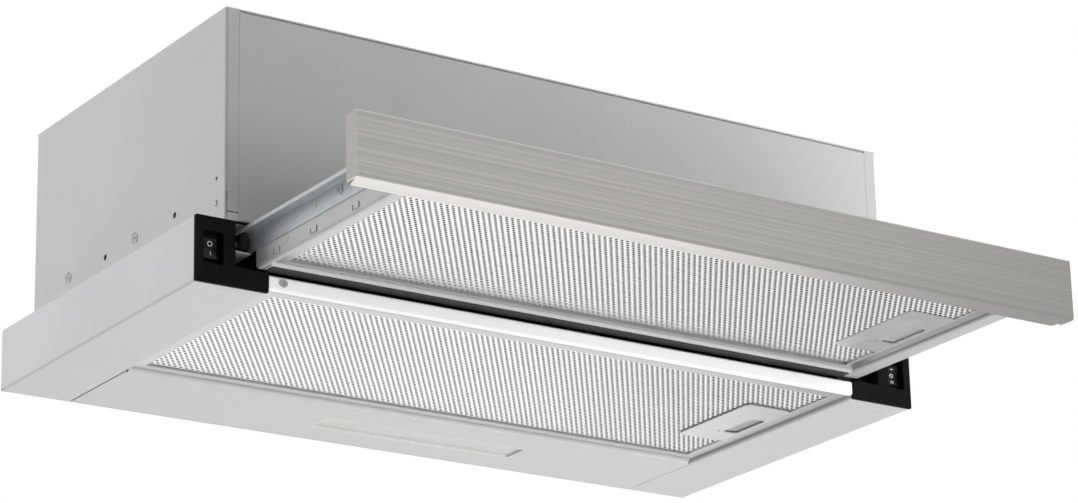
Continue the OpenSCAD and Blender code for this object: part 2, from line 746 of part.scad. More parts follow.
// A filter cassette's frame: f is one of the filters above, z its underside
module filter_frame(f, z, handle_y) {
    right = f[0];
    left = f[4];
    color("lightgray") difference() {
        union() {
            translate([0, 0, z]) {
                translate([-left, 0, 0]) along_y(f[1] + 1, f[2] - 1) rolled_edge(f[5]);
                mirror([1, 0, 0]) translate([-right, 0, 0])
                    along_y(f[1] + 1, f[2] - 1) rolled_edge(filter_edge);
                translate([0, f[1], 0]) along_x(-left + 1, right - 1) rolled_edge(f[3]);
                translate([0, f[2], 0]) mirror([0, 1, 0])
                    along_x(-left + 1, right - 1) rolled_edge(f[3]);
            }
            // hooks at the other end
            for (y = hook_places(f))
                block([-left - 3, y - 6, z + bolt_z], [-left + 2, y + 6, z + bolt_z + 2]);
        }
        // slot for the latch's bolt
        block([right - filter_edge - 1, handle_y - 6 - fit, z + bolt_z - fit],
              [right + 1, handle_y + 6 + fit, z + bolt_z + 2 + fit]);
    }
}

// Handle plate of a filter, with the cup that holds the latch above it
module filter_handle(f, z, handle_y) {
    right = f[0];
    grip_y = handle_y + grip_back;
    color("lightgray") difference() {
        union() {
            along_z(z + plate_z, z + plate_z + 1)
                polygon(round_rect([right - filter_edge - handle_w, handle_y - handle_l / 2],
                                   [right - filter_edge, handle_y + handle_l / 2], 4));
            block([right - cup_reach, grip_y - cup_l / 2 - 1, z + plate_z + 0.5],
                  [right - filter_edge, grip_y + cup_l / 2 + 1, z + 8]);
        }
        block([right - cup_reach + 1, grip_y - cup_l / 2, z + plate_z + 1],
              [right - filter_edge + 1, grip_y + cup_l / 2, z + 7]);
        along_z(z - 1, z + 3)
            polygon(round_rect([right - finger_in - finger_w, grip_y - finger_l / 2],
                               [right - finger_in, grip_y + finger_l / 2], 3));
        translate([right - finger_in - finger_w - 3.5, grip_y + finger_l / 2 - 0.5, z - 1])
            cylinder(h = 3, r = 0.9);
    }
}

// Expanded mesh pack: staggered diamond openings, left whole round the latch cup
module filter_mesh(f, z, handle_y) {
    low = [-f[4] + f[5] - 2, f[1] + f[3] - 2];
    high = [f[0] - filter_edge + 2, f[2] - f[3] + 2];
    pitch = [(high[0] - low[0]) / mesh_columns, (high[0] - low[0]) / mesh_columns * 1.25];
    rows = floor((high[1] - low[1] - 6) / pitch[1]);
    first_y = (low[1] + high[1] - (rows - 1) * pitch[1]) / 2;
    diamond = [[pitch[0] * 0.3, 0], [0, pitch[1] * 0.38], [-pitch[0] * 0.3, 0], [0, -pitch[1] * 0.38]];
    bottom = z + (filter_t - mesh_t) / 2;
    color("whitesmoke") difference() {
        along_z(bottom, bottom + mesh_t) difference() {
            polygon([low, [high[0], low[1]], high, [low[0], high[1]]]);
            for (i = [1:mesh_columns - 1], j = [0:rows - 1])
                if (i % 2 == 0 || j < rows - 1)
                    translate([low[0] + i * pitch[0], first_y + (j + (i % 2) / 2) * pitch[1]])
                        polygon(diamond);
        }
        block([f[0] - cup_reach - fit, handle_y + grip_back - cup_l / 2 - 1 - fit, z - 1],
              [f[0], handle_y + grip_back + cup_l / 2 + 1 + fit, z + filter_t + 1]);
        frame_grip(f, z);
    }
}

// Room that the frame's edge takes round the mesh
module frame_grip(f, z) {
    difference() {
        block([-f[4] - 1, f[1] - 1, z - 1], [f[0] + 1, f[2] + 1, z + filter_t + 1]);
        block([-f[4] + f[5], f[1] + f[3], z - 2],
              [f[0] - filter_edge, f[2] - f[3], z + filter_t + 2]);
    }
}

// Sliding latch: a plate with a bolt at its end and a rib for the finger
module latch(f, z, handle_y) {
    right = f[0];
    grip_y = handle_y + grip_back;
    dish_l = finger_l - 2;
    rib = right - finger_in - finger_w + 1.8;
    color([0.55, 0.56, 0.57]) {
        block([right - cup_reach + 1 + latch_travel + 0.5, grip_y - dish_l / 2 - 1, z + bolt_z],
              [right - filter_edge - 0.5, grip_y + dish_l / 2 + 1, z + bolt_z + 2]);
        along_z(z + bolt_z, z + bolt_z + 2)
            polygon([[right - filter_edge - 1, handle_y - 6], [right + 2, handle_y - 6],
                     [right + 3.5, handle_y - 4], [right + 3.5, handle_y + 4],
                     [right + 2, handle_y + 6], [right - filter_edge - 1, handle_y + 6]]);
        // finger dish: a wall at its inner end and a floor that slopes up to it
        along_y(grip_y - dish_l / 2, grip_y + dish_l / 2)
            polygon([[rib, z + bolt_z + e], [rib, z + 1.8], [rib + 1.2, z + 1.8],
                     [rib + 1.6, z + bolt_z - 0.2], [rib + 10.5, z + 1.8], [rib + 11.5, z + 1.8],
                     [rib + 11.5, z + bolt_z + e]]);
    }
}

module lower_filter_frame() {
    filter_frame(lower_filter, filter_recess, lower_handle_y);
}

module lower_filter_handle() {
    filter_handle(lower_filter, filter_recess, lower_handle_y);
}

module lower_filter_mesh() {
    filter_mesh(lower_filter, filter_recess, lower_handle_y);
}

module lower_latch() {
    latch(lower_filter, filter_recess, lower_handle_y);
}

module visor_filter_frame() {
    filter_frame(visor_filter, visor_filter_z, -visor_handle_y);
}

module visor_filter_handle() {
    filter_handle(visor_filter, visor_filter_z, -visor_handle_y);
}

module visor_filter_mesh() {
    filter_mesh(visor_filter, visor_filter_z, -visor_handle_y);
}

module visor_latch() {
    latch(visor_filter, visor_filter_z, -visor_handle_y);
}

// ---------- lamp ----------

module lamp_rect(inset, z0, z1) {
    block([lamp_x - lamp_l / 2 + inset, lamp_y - lamp_w / 2 + inset, z0],
          [lamp_x + lamp_l / 2 - inset, lamp_y + lamp_w / 2 - inset, z1]);
}

module lamp_frame() {
    color([0.88, 0.88, 0.85]) difference() {
        union() {
            lamp_rect(0, 0, 1.2);
            lamp_rect(3, 0, lamp_depth);
            // clips over the sheet
            for (x = [-0.35, 0.35], s = [-1, 1])
                block([lamp_x + x * lamp_l - 5, lamp_y + s * (lamp_w / 2 - 1.5) - 2.2, 1.3],
                      [lamp_x + x * lamp_l + 5, lamp_y + s * (lamp_w / 2 - 1.5) + 2.2, 3]);
        }
        lamp_rect(4.5, -1, lamp_depth - 1.5);
        // bevel round the opening
        for (step = [0:3]) lamp_rect(3.3 + 0.3 * step, -1, 1.2 - 0.3 * step);
    }
}

module lamp_diffuser() {
    color([0.85, 0.88, 0.88]) lamp_rect(4.7, 1.6, 3.6);
}

module lamp_board() {
    color("darkseagreen") {
        lamp_rect(5.5, lamp_depth - 3.1, lamp_depth - 1.5);
        for (i = [0:led_count - 1])
            translate([lamp_x + (i - (led_count - 1) / 2) * (lamp_l - 30) / (led_count - 1), lamp_y,
                       lamp_depth - 3.9])
                linear_extrude(0.9) square([5, 3], center = true);
    }
}

module lamp_driver() {
    back = box_d - sheet;
    color("whitesmoke") {
        block([-box_half + 60, back - 30, casing_h + 20], [-box_half + 150, back, casing_h + 50]);
        for (x = [-box_half + 52, -box_half + 149])
            block([x, back - 2, casing_h + 28], [x + 9, back, casing_h + 42]);
    }
}

// ---------- blower ----------

// Outline of the blower housing as (y, z), grown by w
function scroll_outline(w, top) = concat(
    [for (a = [scroll_start:10:360]) [wheel_y, wheel_z] + (scroll_radius(a) + w) * [cos(a), sin(a)]],
    [[outlet_y + outlet_half + w, top - 14], [outlet_y + outlet_half + w, top],
     [outlet_y - outlet_half - w, top]]);

module blower_housing() {
    top = box_top - sheet;
    half = scroll_w / 2;
    color([0.25, 0.26, 0.28]) difference() {
        union() {
            along_x(-scroll_half, scroll_half) polygon(scroll_outline(scroll_wall, top));
            // flange against the top plate
            block([-scroll_half - 10, outlet_y - outlet_half - 10, top - 2.5],
                  [scroll_half + 10, outlet_y + outlet_half + 10, top]);
        }
        along_x(-half, half) polygon(scroll_outline(0, top + 1));
        bar_x(-half - 5, half + 5, wheel_y, wheel_z, eye_r);
        top_holes(blower_screws);
    }
}

module inlet_ring(side) {
    lip = 8;
    color([0.3, 0.31, 0.33]) on_side(side) translate([scroll_half, 0, 0])
        turned_x(wheel_y, wheel_z)
            polygon(concat([[eye_r + 5, 0], [eye_r + 5, 1.5]],
                arc([eye_r - 5.5 + lip, 1.5 - lip], lip, 90, 180, 6),
                [[eye_r - 3.9, 1.5 - lip], [eye_r - fit, -1.5], [eye_r - fit, 0]]));
}

// A forward-curved blade: an arc in (y, z) between the wheel's inner and outer radius
module blade() {
    depth = wheel_r - 0.5 - blade_inner;
    bow = depth * 0.75;
    path = arc([blade_inner + depth * 0.2, bow], bow, -75, 35, 5);
    thick = 0.4;
    polygon(concat(beside(path, thick), reversed(beside(path, -thick))));
}

module fan_wheel() {
    half = wheel_half;
    color([0.2, 0.21, 0.22]) {
        difference() {
            union() {
                bar_x(8, 10.5, wheel_y, wheel_z, wheel_r - 0.5);
                bar_x(0, 20, wheel_y, wheel_z, shaft_r + 5);
            }
            bar_x(-1, 21, wheel_y, wheel_z, shaft_r + 0.02);
        }
        translate([0, wheel_y, wheel_z]) along_x(-half + 1, half - 1)
            for (i = [0:blade_count - 1]) rotate(i * 360 / blade_count) blade();
        for (x = [-half, half - 2.5])
            difference() {
                bar_x(x, x + 2.5, wheel_y, wheel_z, wheel_r);
                bar_x(x - 1, x + 4, wheel_y, wheel_z, blade_inner);
            }
    }
}

module motor_shaft() {
    color("silver") bar_x(motor_rear + 4, 19, wheel_y, wheel_z, shaft_r);
}

module motor() {
    length = motor_front - motor_rear;
    color([0.45, 0.46, 0.48]) difference() {
        union() {
            translate([motor_rear, 0, 0]) turned_x(wheel_y, wheel_z)
                polygon([[0, 0], [motor_r - 8, 0], [motor_r - 3, 5], [motor_r - 3, 16], [motor_r, 16],
                         [motor_r, length - 16], [motor_r - 3, length - 16], [motor_r - 3, length - 5],
                         [motor_r - 8, length], [0, length]]);
        }
        bar_x(motor_rear + 3, 1, wheel_y, wheel_z, shaft_r + play);
    }
}

module motor_bracket() {
    color("silver") difference() {
        union() {
            bar_x(motor_rear - 2, motor_rear, wheel_y, wheel_z, motor_r);
            for (a = [90, 210, 330])
                translate([0, wheel_y, wheel_z]) rotate([a, 0, 0]) {
                    block([motor_rear - 2, 10, -6], [motor_rear, eye_r + 12, 6]);
                    block([motor_rear - 1, eye_r + 7, -6], [-scroll_half, eye_r + 12, 6]);
                }
        }
        bar_x(motor_rear - 3, motor_rear + 1, wheel_y, wheel_z, 9);
    }
}

// ---------- outlet ----------

module outlet_collar() {
    inner = outlet_r - collar_wall;
    color([0.2, 0.2, 0.21]) difference() {
        translate([0, outlet_y, box_top]) union() {
            rotate_extrude() polygon([[inner, 0], [outlet_r + 12, 0], [outlet_r + 12, 2], [outlet_r, 2],
                [outlet_r, outlet_h - 1], [outlet_r - 0.8, outlet_h], [inner, outlet_h], [inner, 11],
                [inner - 1.8, 10.7], [inner - 1.8, 9.5], [inner, 8]]);
            // bearings of the flaps
            for (s = [-1, 1])
                block([s > 0 ? inner - 5 : -inner - 0.8, -7, 6], [s > 0 ? inner + 0.8 : -inner + 5, 7, 15]);
        }
        for (y = [-flap_pivot, flap_pivot])
            bar_x(-inner + 1, inner - 1, outlet_y + y, flap_z + flap_t / 2, 1.2 + play);
        top_holes(collar_screws);
    }
}

// A half-moon flap, hinged beside the collar's middle; side is 1 for the rear one
module flap(side) {
    reach = outlet_r - collar_wall - 0.9;
    pin = reach - 1.4;
    color("dimgray") translate([0, outlet_y, 0]) mirror([0, side < 0 ? 1 : 0, 0]) {
        intersection() {
            translate([0, 0, flap_z + 0.1]) cylinder(h = flap_t, r = reach);
            block([-reach, flap_pivot, flap_z - 1], [reach, reach + 1, flap_z + 3]);
            union() {
                block([-reach + 5.5, 0, flap_z - 1], [reach - 5.5, reach + 1, flap_z + 3]);
                block([-reach, 8.5, flap_z - 1], [reach, reach + 1, flap_z + 3]);
            }
        }
        bar_x(-reach + 5.5, reach - 5.5, flap_pivot, flap_z + flap_t / 2, 1.9);
        bar_x(-pin, pin, flap_pivot, flap_z + flap_t / 2, 1.2);
    }
}

// ---------- electrical parts ----------

module terminal_box() {
    top = box_top - sheet;
    low = [gland_at[0] - 40, gland_at[1] - 25];
    high = [gland_at[0] + 40, gland_at[1] + 20];
    color("whitesmoke") difference() {
        union() {
            block([low[0], low[1], top - 30], [high[0], high[1], top]);
            block([low[0] - 1.5, low[1] - 1.5, top - 32], [high[0] + 1.5, high[1] + 1.5, top - 28]);
        }
        block([low[0] + 2, low[1] + 2, top - 28], [high[0] - 2, high[1] - 2, top + 1]);
    }
}

module capacitor() {
    back = box_d - sheet;
    color("gainsboro") translate([box_half - 120, 0, casing_h + 60]) {
        translate([0, back - 3, 0]) rotate([90, 0, 0]) cylinder(h = 50, r = 17);
        translate([0, back, 0]) rotate([90, 0, 0]) cylinder(h = 4, r = 12);
        for (x = [-6, 6])
            block([x - 0.5, back - 60, -3], [x + 0.5, back - 52, 3]);
    }
}

module cord_gland() {
    color([0.15, 0.15, 0.15]) translate([gland_at[0], gland_at[1], box_top]) difference() {
        union() {
            cylinder(h = 5, r = 10, $fn = 6);
            cylinder(h = 16, r = 7);
            translate([0, 0, 9]) cylinder(h = 9, r = 9);
            translate([0, 0, -9]) cylinder(h = 10, r = 6);
            translate([0, 0, -5]) cylinder(h = 4, r = 9, $fn = 6);
        }
        translate([0, 0, -10]) cylinder(h = 30, r = 4);
    }
}

placed() side_rail(-1);  // side_rail_left
placed() side_rail(1);  // side_rail_right
placed() rear_panel();
placed() front_strip();
placed() strip_screw();
placed() end_cap(-1);  // end_cap_left
placed() end_cap(1);  // end_cap_right
placed() switch_housing(-1, 2);  // switch_housing_left
placed() switch_housing(1, 3);  // switch_housing_right
placed() rocker(-1, -rocker_tilt);  // rocker_left
placed() rocker(1, 0);  // rocker_right
placed() box_side(-1);  // box_side_left
placed() box_side(1);  // box_side_right
placed() box_front();
placed() box_back();
placed() box_top_plate();
placed() side_screw_set();  // side_screws
placed() side_rivets();
placed() top_screws();
placed() channel(-1);  // channel_left
placed() channel(1);  // channel_right
placed() front_roller(-1);  // front_roller_left
placed() front_roller(1);  // front_roller_right
placed() rear_roller(-1);  // rear_roller_left
placed() rear_roller(1);  // rear_roller_right
placed() lower_filter_frame();
placed() lower_filter_handle();
placed() lower_filter_mesh();
placed() lower_latch();
placed() lamp_frame();
placed() lamp_diffuser();
placed() lamp_board();
placed() lamp_driver();
placed() front_panel();
placed() visor_tray();
placed() visor_seal();
placed() visor_runner(-1);  // visor_runner_left
placed() visor_runner(1);  // visor_runner_right
placed() visor_screws();
placed() visor_filter_frame();
placed() visor_filter_handle();
placed() visor_filter_mesh();
placed() visor_latch();
placed() blower_housing();
placed() inlet_ring(-1);  // inlet_ring_left
placed() inlet_ring(1);  // inlet_ring_right
placed() fan_wheel();
placed() motor_shaft();
placed() motor();
placed() motor_bracket();
placed() outlet_collar();
placed() flap(-1);  // flap_front
placed() flap(1);  // flap_rear
placed() terminal_box();
placed() capacitor();
placed() cord_gland();
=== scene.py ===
"""Finishes, fine filter mesh, switch marks, camera and studio for a pull out range hood."""

import json
from math import cos, pi, radians, sin

import bpy
import numpy as np
from mathutils import Matrix, Vector


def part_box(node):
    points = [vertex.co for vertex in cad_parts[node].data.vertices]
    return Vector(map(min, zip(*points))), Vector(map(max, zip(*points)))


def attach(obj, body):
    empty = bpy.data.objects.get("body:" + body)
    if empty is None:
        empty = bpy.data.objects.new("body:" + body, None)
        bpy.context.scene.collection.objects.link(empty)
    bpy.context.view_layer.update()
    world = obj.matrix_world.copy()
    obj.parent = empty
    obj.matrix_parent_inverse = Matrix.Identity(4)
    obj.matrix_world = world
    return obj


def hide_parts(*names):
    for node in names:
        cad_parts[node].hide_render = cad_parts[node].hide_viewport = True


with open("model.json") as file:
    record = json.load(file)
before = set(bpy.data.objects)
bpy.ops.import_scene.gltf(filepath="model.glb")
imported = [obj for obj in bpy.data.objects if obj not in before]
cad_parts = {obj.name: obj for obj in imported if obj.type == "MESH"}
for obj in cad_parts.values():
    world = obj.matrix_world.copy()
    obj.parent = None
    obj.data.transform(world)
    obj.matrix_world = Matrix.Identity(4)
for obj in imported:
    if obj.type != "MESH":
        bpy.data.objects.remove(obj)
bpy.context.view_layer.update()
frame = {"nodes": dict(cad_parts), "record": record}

MM = 0.001
HOOD_Y = -48.0        # millimetres from the casing's front plane to the row frame's origin


# ---------- shader kit ----------

class Wire:
    """A number in a node tree. Arithmetic on it adds Math nodes and gives the next Wire."""

    def __init__(self, finish, socket):
        self.finish = finish
        self.socket = socket

    def math(self, operation, *values):
        return self.finish.add("Math", {"operation": operation}, dict(enumerate(values)))

    def __add__(self, other):
        return self.math("ADD", self, other)

    def __radd__(self, other):
        return self.math("ADD", other, self)

    def __sub__(self, other):
        return self.math("SUBTRACT", self, other)

    def __rsub__(self, other):
        return self.math("SUBTRACT", other, self)

    def __mul__(self, other):
        return self.math("MULTIPLY", self, other)

    def __rmul__(self, other):
        return self.math("MULTIPLY", other, self)

    def __gt__(self, other):
        return self.math("GREATER_THAN", self, other)

    def __lt__(self, other):
        return self.math("LESS_THAN", self, other)


class Finish:
    """One material: a Principled shader whose constants sit on its own sockets."""

    def __init__(self, name, colour, **constants):
        self.material = bpy.data.materials.new(name)
        self.material.use_nodes = True
        self.material.diffuse_color = (*colour, 1)
        self.tree = self.material.node_tree
        self.tree.nodes.clear()
        self.shader = self.tree.nodes.new("ShaderNodeBsdfPrincipled")
        output = self.tree.nodes.new("ShaderNodeOutputMaterial")
        self.tree.links.new(self.shader.outputs[0], output.inputs[0])
        self.shader.inputs["Base Color"].default_value = (*colour, 1)
        for socket, value in constants.items():
            self.shader.inputs[socket.replace("_", " ")].default_value = value

    def add(self, kind, settings, sockets, out=0):
        """Adds any node: its settings first, then the values or links of its sockets."""
        node = self.tree.nodes.new("ShaderNode" + kind)
        for key, value in settings.items():
            setattr(node, key, value)
        for key, value in sockets.items():
            self.feed(node, key, value)
        return Wire(self, node.outputs[out])

    def feed(self, node, key, value):
        if isinstance(value, Wire):
            self.tree.links.new(value.socket, node.inputs[key])
        else:
            node.inputs[key].default_value = value

    def place(self, stretch=(1, 1, 1), turn=(0, 0, 0)):
        """Object coordinates in metres, stretched and turned."""
        spot = self.add("TexCoord", {}, {}, "Object")
        return self.add("Mapping", {}, {"Vector": spot, "Scale": stretch, "Rotation": turn})

    def axis(self, letter):
        """One Object coordinate, in metres."""
        return self.add("SeparateXYZ", {}, {0: self.place()}, letter)

    def noise(self, scale, detail=2.0, stretch=(1, 1, 1), roughness=0.5):
        return self.add("TexNoise", {}, {"Vector": self.place(stretch), "Scale": scale,
                                         "Detail": detail, "Roughness": roughness})

    def cells(self, scale, stretch=(1, 1, 1)):
        return self.add("TexVoronoi", {}, {"Vector": self.place(stretch), "Scale": scale})

    def ramp(self, value, low, high, dark=0.0, light=1.0):
        """A value from low to high, spread from dark to light and held beyond."""
        return self.add("MapRange", {"clamp": True}, {"Value": value, "From Min": low,
                        "From Max": high, "To Min": dark, "To Max": light})

    def mix(self, factor, first, second):
        """A colour between two colours. On an RGBA Mix node, socket 0 is the factor, 6 and 7
        are the colours, and output 2 is the result."""
        def rgba(value):
            return value if isinstance(value, Wire) else (*value, 1)
        sockets = {0: factor, 6: rgba(first), 7: rgba(second)}
        return self.add("Mix", {"data_type": "RGBA"}, sockets, 2)

    def colour(self, value):
        self.feed(self.shader, "Base Color", value)
        return self

    def rough(self, value):
        self.feed(self.shader, "Roughness", value)
        return self

    def bump(self, height, distance, strength=1.0):
        """Relief: height from 0 to 1, times the distance in metres."""
        sockets = {"Height": height, "Distance": distance, "Strength": strength}
        self.feed(self.shader, "Normal", self.add("Bump", {}, sockets))
        return self


def shade(colour, factor):
    return tuple(min(1.0, c * factor) for c in colour)


# ---------- finishes ----------

def powder_coat(name, colour, roughness=0.42, peel=0.00004):
    """Satin paint on sheet: fine orange peel, faint clouds of tone and a few dust specks."""
    paint = Finish(name, colour, Metallic=0.0, Specular_IOR_Level=0.45)
    clouds = paint.noise(9, 3)
    grain = paint.noise(1400, 2)
    specks = paint.ramp(paint.noise(2600, 1), 0.70, 0.76)
    tone = paint.mix(paint.ramp(clouds, 0.35, 0.65), shade(colour, 0.975), shade(colour, 1.02))
    paint.colour(paint.mix(specks * 0.18, tone, shade(colour, 0.72)))
    paint.rough(paint.ramp(clouds + grain * 0.3, 0.4, 0.9, roughness - 0.04, roughness + 0.05))
    return paint.bump(grain, peel)


def brushed(name, colour, stretch, roughness, depth=0.000012, warm=(1.03, 1.0, 0.96)):
    """Steel with fine scratches drawn out along one axis, in bundles of changing tone."""
    steel = Finish(name, colour, Metallic=1.0)
    hair = steel.noise(1.0, 3, stretch, 0.7)
    bundle = steel.noise(0.22, 2, stretch)
    cloud = steel.noise(5, 2)
    light = tuple(min(1.0, c * w * 1.10) for c, w in zip(colour, warm))
    lines = steel.mix(steel.ramp(hair, 0.3, 0.7), shade(colour, 0.86), light)
    steel.colour(steel.mix(steel.ramp(bundle + cloud * 0.5, 0.55, 0.95, 0.0, 0.35), lines,
                           shade(colour, 0.9)))
    steel.rough(steel.ramp(hair + bundle, 0.7, 1.3, roughness - 0.05, roughness + 0.08))
    return steel.bump(hair, depth)


def zinc_plated(name, colour):
    """Bright zinc: bluish spangle, rolling lines and a faint yellow stain."""
    zinc = Finish(name, colour, Metallic=0.6)
    spangle = zinc.cells(260, (1, 0.5, 1))
    lines = zinc.noise(700, 2, (1, 0.04, 1))
    stain = zinc.noise(28, 3)
    base = zinc.mix(zinc.ramp(spangle, 0.1, 0.8), shade(colour, 0.93), shade(colour, 1.05))
    zinc.colour(zinc.mix(zinc.ramp(stain, 0.52, 0.75, 0.0, 0.5), base,
                         (colour[0] * 1.02, colour[1] * 0.99, colour[2] * 0.88)))
    zinc.rough(zinc.ramp(lines + stain, 0.7, 1.3, 0.40, 0.52))
    return zinc.bump(lines, 0.000008)


def aluminium(name, colour, roughness=0.34):
    """Rolled aluminium: soft rolling lines and small dents."""
    metal = Finish(name, colour, Metallic=0.85)
    lines = metal.noise(1300, 2, (0.05, 1, 1))
    dents = metal.noise(60, 2)
    metal.colour(metal.mix(metal.ramp(dents, 0.35, 0.7), shade(colour, 0.98), shade(colour, 1.02)))
    metal.rough(metal.ramp(lines + dents * 0.5, 0.5, 1.0, roughness - 0.03, roughness + 0.04))
    return metal.bump(lines + dents * 0.3, 0.000003)


def moulded(name, colour, roughness=0.5, grain=1100, depth=0.00003, wear=0.12, specular=0.4):
    """Injection moulded plastic: fine eroded texture, and a paler bloom in soft patches."""
    plastic = Finish(name, colour, Specular_IOR_Level=specular)
    texture = plastic.noise(grain, 3)
    bloom = plastic.noise(45, 3)
    pale = tuple(c + (0.6 - c) * wear for c in colour)
    plastic.colour(plastic.mix(plastic.ramp(bloom, 0.5, 0.8, 0.0, 0.5), colour, pale))
    plastic.rough(plastic.ramp(texture + bloom, 0.7, 1.3, roughness - 0.06, roughness + 0.08))
    return plastic.bump(texture, depth)


def steel_fastener(name, colour):
    """Nickel plated screw: turning lines and a little tarnish."""
    nickel = Finish(name, colour, Metallic=0.7)
    turning = nickel.noise(2200, 2, (1, 1, 0.3))
    tarnish = nickel.noise(600, 3)
    nickel.colour(nickel.mix(nickel.ramp(tarnish, 0.5, 0.75, 0.0, 0.7), colour, shade(colour, 0.6)))
    nickel.rough(nickel.ramp(tarnish, 0.3, 0.8, 0.2, 0.42))
    return nickel.bump(turning, 0.00001)


def frosted(name, colour):
    """Frosted acrylic: fine prism lines across the lamp and a faint haze."""
    acrylic = Finish(name, colour, IOR=1.49, Subsurface_Weight=0.15, Subsurface_Scale=0.004)
    prisms = acrylic.add("TexWave", {"bands_direction": "X"},
                         {"Vector": acrylic.place(), "Scale": 160.0, "Distortion": 0.0})
    haze = acrylic.noise(60, 2)
    cloud = acrylic.ramp(haze, 0.35, 0.7)
    acrylic.colour(acrylic.mix(cloud, shade(colour, 0.97), shade(colour, 1.03)))
    acrylic.rough(acrylic.ramp(haze, 0.3, 0.7, 0.36, 0.46))
    return acrylic.bump(prisms, 0.00002)


def circuit_board(name, colour, led_z):
    """Solder resist with pale tracks. Below led_z are the diodes, a warm yellowish white."""
    board = Finish(name, colour, Specular_IOR_Level=0.5)
    tracks = board.add("TexBrick", {"offset": 0.5}, {
        "Vector": board.place((1, 1, 0)), "Scale": 90.0, "Mortar Size": 0.05})
    green = board.mix(tracks * 0.6, shade(colour, 1.5), colour)
    diode = board.axis("Z") < led_z
    board.colour(board.mix(diode, green, (0.85, 0.78, 0.45)))
    board.rough(board.ramp(board.noise(300), 0.3, 0.7, 0.32, 0.45))
    return board.bump(board.noise(800), 0.00002)


def motor_case(name, colour, middle, half):
    """Cast aluminium ends and a band of dark laminations round the middle of the motor."""
    case = Finish(name, colour, Metallic=0.7)
    along = case.axis("X") - middle
    band = case.add("Math", {"operation": "ABSOLUTE"}, {0: along}) < half
    sheets = case.add("TexWave", {"bands_direction": "X"},
                      {"Vector": case.place(), "Scale": 300.0, "Distortion": 0.3})
    cast = case.noise(900, 3)
    metal = case.mix(case.ramp(cast, 0.3, 0.7), shade(colour, 0.9), shade(colour, 1.1))
    stack = case.mix(sheets * 0.7, (0.10, 0.10, 0.11), (0.30, 0.31, 0.33))
    case.colour(case.mix(band, metal, stack))
    case.rough(case.ramp(cast, 0.3, 0.7, 0.4, 0.55))
    return case.bump(cast + band * sheets * 2.0, 0.00006)


def soft_profile(name, colour):
    """Extruded rubber: lengthwise draw lines and a dusty bloom."""
    rubber = Finish(name, colour, Specular_IOR_Level=0.35)
    drawn = rubber.noise(1500, 2, (0.02, 1, 1))
    dust = rubber.noise(70, 3)
    rubber.colour(rubber.mix(rubber.ramp(dust, 0.45, 0.8, 0.0, 0.35), colour, shade(colour, 1.8)))
    rubber.rough(rubber.ramp(dust, 0.3, 0.7, 0.5, 0.62))
    return rubber.bump(drawn, 0.00003)


LED_Z = (14 - 3.1 - 0.1) * MM          # just below the lamp board's underside
MOTOR_MIDDLE = (-66 + 30) * MM         # the motor's left end, and half its length
MOTOR_BAND = 14 * MM                   # half the width of its laminations
GREY = (0.60, 0.605, 0.61)
BOX_GREY = (0.52, 0.523, 0.525)

finishes = {
    "sheet_grey": powder_coat("silver_powder_coat", GREY),
    "box_grey": powder_coat("upper_box_coat", BOX_GREY, 0.45),
    "strip_white": powder_coat("strip_satin_white", (0.93, 0.93, 0.925), 0.38),
    "tray_sheet": powder_coat("tray_light_coat", (0.52, 0.52, 0.52), 0.4),
    "stainless": brushed("panel_brushed_stainless", (0.70, 0.692, 0.672), (3, 900, 2600), 0.30),
    "zinc": zinc_plated("runner_zinc", (0.70, 0.735, 0.75)),
    "filter_aluminium": aluminium("filter_pressed_plate", (0.60, 0.60, 0.60), 0.28),
    "mesh_aluminium": aluminium("filter_mesh_strands", (0.95, 0.95, 0.95), 0.25),
    "cap_black": moulded("cap_black_plastic", (0.005, 0.005, 0.0052), 0.5,
                         grain=900, depth=0.00004, wear=0.008, specular=0.15),
    "switch_black": moulded("switch_body_black", (0.003, 0.003, 0.003), 0.4,
                            grain=1400, depth=0.00001, wear=0.0, specular=0.15),
    "rocker_black": moulded("rocker_black_plastic", (0.007, 0.007, 0.008), 0.3,
                            grain=1600, depth=0.000008, wear=0.01, specular=0.3),
    # the latch's grey plastic, set darker so the finger recess reads darker: its own grey and
    # painted shade of the recess
    "latch_grey": moulded("latch_plastic_and_recess_shade", (0.42, 0.42, 0.42), 0.45),
    "seal_grey": soft_profile("seal_dark_profile", (0.045, 0.045, 0.047)),
    "roller_nylon": moulded("roller_dark_nylon", (0.02, 0.02, 0.021), 0.35,
                            grain=1500, depth=0.00001, wear=0.02, specular=0.3),
    "lamp_white": moulded("lamp_frame_white", (0.66, 0.66, 0.645), 0.36,
                          grain=1500, depth=0.00001, wear=0.0),
    "diffuser": frosted("lamp_frosted_acrylic", (0.64, 0.64, 0.615)),
    "board": circuit_board("lamp_circuit_board", (0.03, 0.16, 0.07), LED_Z),
    "box_white": moulded("electrical_box_white", (0.70, 0.70, 0.68), 0.42,
                         grain=1300, depth=0.00002, wear=0.0),
    "blower_grey": moulded("blower_grey_plastic", (0.07, 0.07, 0.075), 0.46,
                           grain=700, depth=0.00004, wear=0.05),
    "wheel_grey": moulded("fan_wheel_plastic", (0.05, 0.05, 0.055), 0.42,
                          grain=900, depth=0.00003, wear=0.04),
    "motor_metal": motor_case("motor_cast_case", (0.42, 0.43, 0.44), MOTOR_MIDDLE, MOTOR_BAND),
    "shaft_steel": brushed("motor_shaft_steel", (0.6, 0.6, 0.6), (2500, 60, 60), 0.25),
    "screw_steel": steel_fastener("screw_nickel", (0.67, 0.68, 0.69)),
    "bracket_steel": zinc_plated("bracket_zinc", (0.58, 0.60, 0.62)),
    # the filter's inner layers in near black: painted shade standing for the shadow between the
    # layers
    "mesh_core": aluminium("inner_layers_painted_shade", (0.012, 0.012, 0.012), 0.6),
    "mark_white": moulded("switch_mark_white", (0.75, 0.75, 0.74), 0.5,
                          grain=1500, depth=0.000005, wear=0.0),
}
